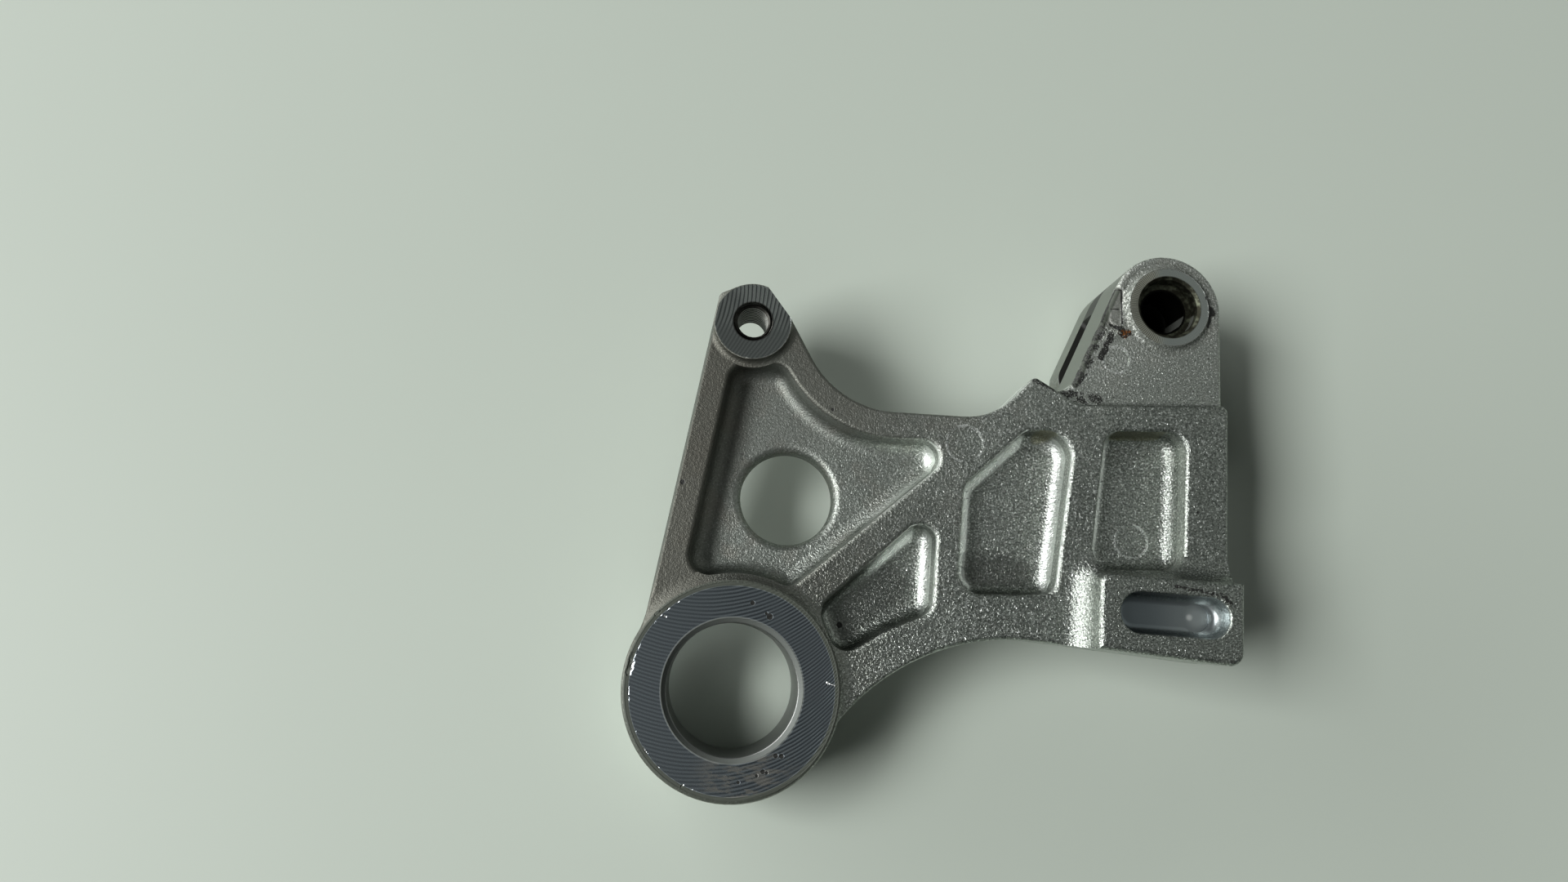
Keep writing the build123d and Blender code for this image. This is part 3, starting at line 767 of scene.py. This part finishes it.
def torque_slot_light_and_shade(look):
    """Colour inside the torque slot: painted shade towards its left end, painted light towards its
    right end, and a painted lens-shaped highlight with a glint on its floor.
    """
    return look.coats(
        look.mix(look.ramp(look.x, *TORQUE_SLOT_SHADE_TO_LIGHT_X), TORQUE_SLOT_SHADE, TORQUE_SLOT_LIGHT),
        (look.times(look.within(SLOT_LENS_HIGHLIGHT, SLOT_LENS_HIGHLIGHT_RADIUS, 1.0), 0.5), LENS_HIGHLIGHT),
        (look.within(SLOT_GLINT, SLOT_GLINT_RADIUS, 0.4), GLINT),
    )


def casting_colour(look, cast, cut, machined, ticked, faces, marks):
    """Colour of the whole casting; cast and cut are the colours before the marks of use. Painted
    shade darkens the bolt hole, the pin bore and the disc slot, and the torque slot gets painted
    shade and light.
    """
    pin_bore = look.mix(look.patches(1.5, 0.3, 0.6, detail=3.0), PIN_BORE_OILY, PIN_BORE_DARK)
    deep_pin_bore_shade = look.times(look.within(PIN, PIN_BORE_RADIUS), look.below(PIN_STEP_Z))
    rust = look.mix(look.patches(0.6, 0.46, 0.60, detail=3.0), RUST_DARK, RUST_ORANGE)
    return look.coats(
        look.mix(machined, cast, cut),
        (look.times(ticked, 0.5), PIN_TICK),
        # Painted shade, light and highlights inside the torque slot
        (marks["torque_slot"], torque_slot_light_and_shade(look)),
        (faces["pin_bore"], pin_bore),
        # Painted shade in the deep part of the pin bore
        (deep_pin_bore_shade, PIN_BORE_SHADE),
        # Painted shade inside the bolt hole
        (look.times(faces["bolt_bore"], 0.9), BOLT_BORE_SHADE),
        (look.times(marks["oil"], 0.6), OIL),
        (look.times(marks["scar"], 0.5), SCAR_METAL),
        (marks["nicks"], NICK),
        (marks["dull"], DULL),
        (faces["pad_wall"], PAD_WALL),
        (faces["bore"], AXLE_BORE),
        (marks["chamfer"], AXLE_CHAMFER),
        (marks["dirt_and_disc_slot_shade"], DIRT_AND_DISC_SLOT_SHADE),
        (marks["rust"], rust),
    )


def casting_roughness(look, machined, faces, marks):
    """Roughness of the casting: the lower right is the smoothest of the bare metal."""
    unevenness = look.times(look.noise(12.0), 12.0)
    dulled = look.ramp(look.add(look.aslant(-0.5, 1.0), unevenness), *DULLED_ASLANT)
    tarnished = look.times(look.any_of(marks["far"], marks["arm"]), TARNISH_ROUGHNESS)
    walls = look.any_of(faces["pad_wall"], faces["bore"], look.times(marks["torque_slot"], 0.5))
    return look.levels(
        look.add(look.blend(dulled, BRIGHT_ROUGHNESS, DULLED_ROUGHNESS), tarnished),
        (machined, CUT_ROUGHNESS),
        (walls, WALL_ROUGHNESS),
        (marks["dull"], EDGE_ROUGHNESS),
        (look.any_of(marks["dirt_and_disc_slot_shade"], marks["rust"]), DIRT_ROUGHNESS),
        (look.any_of(marks["chamfer"], faces["pin_bore"]), BORE_ROUGHNESS),
    )


def casting_look():
    """Shot-blasted casting with its machined faces, wear, grime and rust."""
    look = Look("cast_aluminium_look")
    faces = machined_faces(look)
    machined = look.any_of(*faces.values())
    marks = wear(look, faces)
    grooves, ticked = mill_grooves(look, faces)
    milled = look.times(look.any_of(faces["ring"], faces["bolt"], ticked), grooves)
    patchy = look.times(look.patches(7.0, 0.25, 0.55), look.ramp(look.x, *PATCHY_FACE_X))
    coarse = coarseness(look)

    plain_colour = look.mix(grooves, CUT_GROOVE, CUT_CREST)
    cut_colour = look.mix(faces["ring"], plain_colour, ring_colour(look, grooves, patchy))
    cast = cast_colour(look, coarse, marks)
    colour = casting_colour(look, cast, cut_colour, machined, ticked, faces, marks)
    dark_film = look.times(look.any_of(marks["dull"], marks["chamfer"]), 0.85)
    metallic = look.inverse(look.any_of(marks["dirt_and_disc_slot_shade"], marks["rust"], dark_film))
    roughness = casting_roughness(look, machined, faces, marks)
    height = surface_height(look, coarse, machined, milled, patchy, marks)
    return look.finish(colour, metallic, roughness, height, depth=1.0)


def thread_look():
    """Cut thread with painted shade in its grooves; only its crests keep the metal's colour."""
    look = Look("thread_look")
    shine_end = THREAD_CREST + THREAD_SHINE_WIDTH
    crest = look.ramp(look.axle_distance(*BOLT), shine_end, THREAD_CREST)
    groove_shade = look.mix(look.noise(0.8, 3.0), THREAD_GROOVE_DEEP_SHADE, THREAD_GROOVE_SHADE)
    colour = look.mix(crest, groove_shade, THREAD_METAL)
    roughness = look.blend(look.noise(0.5), *THREAD_ROUGHNESS)
    return look.finish(colour, 1.0, roughness, look.noise(0.3), THREAD_SCRATCH_DEPTH)


def table_look():
    """Pale table top with a dull gloss."""
    look = Look("table_look")
    shade = tuple(part * TABLE_SHADE for part in TABLE_COLOUR)
    colour = look.mix(look.noise(TABLE_CLOUD_SIZE), shade, TABLE_COLOUR)
    return look.finish(colour, 0.0, TABLE_ROUGHNESS, look.noise(TABLE_WAVE_SIZE), TABLE_WAVE_DEPTH)


def mesh_piece(name, points, faces, material):
    """A new mesh object, with its points in millimetres."""
    mesh = bpy.data.meshes.new(name)
    mesh.from_pydata([Vector(point) * MM for point in points], [], faces)
    mesh.update()
    mesh.materials.append(material)
    piece = bpy.data.objects.new(name, mesh)
    bpy.context.scene.collection.objects.link(piece)
    return piece


def thread_section(step, low):
    """Four corners of the ridge's section, some steps along the helix."""
    turn = 2 * pi * step / THREAD_STEPS
    middle = low + THREAD_PITCH * step / THREAD_STEPS
    from_mouth = min(middle - PLATE_BOTTOM_Z, BOLT_FACE_Z - middle)
    crest = min(max(THREAD_CREST, THREAD_MOUTH - from_mouth), THREAD_ROOT - THREAD_LEAST_HEIGHT)
    corners = [
        (THREAD_ROOT, -THREAD_ROOT_HALF_WIDTH),
        (crest, -THREAD_CREST_HALF_WIDTH),
        (crest, THREAD_CREST_HALF_WIDTH),
        (THREAD_ROOT, THREAD_ROOT_HALF_WIDTH),
    ]
    return [
        (BOLT[0] + radius * cos(turn), BOLT[1] + radius * sin(turn), middle + shift)
        for radius, shift in corners
    ]


def thread_ridge():
    """Helical ridge of the thread; the chamfers at both mouths cut its ends down."""
    low, high = PLATE_BOTTOM_Z + THREAD_END_GAP, BOLT_FACE_Z - THREAD_END_GAP
    steps = int((high - low) / THREAD_PITCH * THREAD_STEPS)
    points = [corner for step in range(steps + 1) for corner in thread_section(step, low)]
    faces = []
    for step in range(steps):
        first = 4 * step
        for corner in range(4):
            after = (corner + 1) % 4
            faces.append((first + corner, first + after, first + 4 + after, first + 4 + corner))
    faces += [(3, 2, 1, 0), tuple(range(4 * steps, 4 * steps + 4))]
    ridge = mesh_piece("bolt_thread", points, faces, thread_look())
    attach(ridge, "root")


def table():
    """The table top under the bracket's two contact edges."""
    half = TABLE_SIZE / 2 / MM
    across = TABLE_UP.cross(Vector((0, 1, 0))).normalized()
    along = TABLE_UP.cross(across)
    middle = TABLE_UP * -TABLE_DEPTH
    signs = ((-1, -1), (1, -1), (1, 1), (-1, 1))
    corners = [middle + across * a * half + along * b * half for a, b in signs]
    top = mesh_piece("table_top", corners, [(0, 1, 2, 3)], table_look())


def lamp(name, azimuth, elevation, width, height, power):
    """Soft light that points at the middle of the bracket."""
    data = bpy.data.lights.new(name, "AREA")
    data.shape = "RECTANGLE"
    data.size = width
    data.size_y = height
    data.energy = power
    light = bpy.data.objects.new(name, data)
    around, up = radians(azimuth), radians(elevation)
    away = Vector((cos(up) * cos(around), cos(up) * sin(around), sin(up)))
    light.location = Vector(LIGHT_TARGET) * MM + away * LIGHT_DISTANCE
    light.rotation_euler = away.to_track_quat("Z", "Y").to_euler()
    bpy.context.scene.collection.objects.link(light)


def room():
    """Dim room, paler on one side in the metal's reflections, and a pale background."""
    world = bpy.data.worlds.new("room")
    bpy.context.scene.world = world
    world.use_nodes = True
    nodes = Nodes(world.node_tree)
    direction = nodes.node("TexCoord", {}).outputs["Generated"]
    nearness = nodes.measure("DOT_PRODUCT", direction, ROOM_PALE_PLACE)
    ends = {"From Min": ROOM_PALE_FROM, "From Max": ROOM_PALE_FULL}
    pale = nodes.node("MapRange", {"Value": nearness, **ends}).outputs[0]
    path = nodes.node("LightPath", {}).outputs
    colour = nodes.mix(pale, ROOM_DARK, ROOM_PALE)
    colour = nodes.mix(path["Is Glossy Ray"], ROOM_LIGHT, colour)
    colour = nodes.mix(path["Is Camera Ray"], colour, BACKGROUND_COLOUR)
    background = nodes.node("Background", {"Color": colour})
    nodes.node("OutputWorld", {"Surface": background.outputs[0]})


def camera():
    """Camera at the photograph's place."""
    data = bpy.data.cameras.new("camera")
    data.lens = CAMERA_LENS
    data.sensor_width = CAMERA_SENSOR
    data.clip_start = CAMERA_CLIP_START
    holder = bpy.data.objects.new("camera", data)
    axes = Matrix((CAMERA_RIGHT, CAMERA_UP, CAMERA_BACK)).transposed()
    holder.matrix_world = Matrix.Translation(Vector(CAMERA_PLACE) * MM) @ axes.to_4x4()
    bpy.context.scene.collection.objects.link(holder)
    bpy.context.scene.camera = holder


bracket = frame["nodes"]["caliper_bracket"]
for slot in bracket.material_slots:
    slot.material = casting_look()
thread_ridge()
table()
lamp("window", *WINDOW)
lamp("low_window", *LOW_WINDOW)
lamp("ceiling_panel", *CEILING)
room()
camera()
bpy.context.scene.view_settings.view_transform = "Standard"
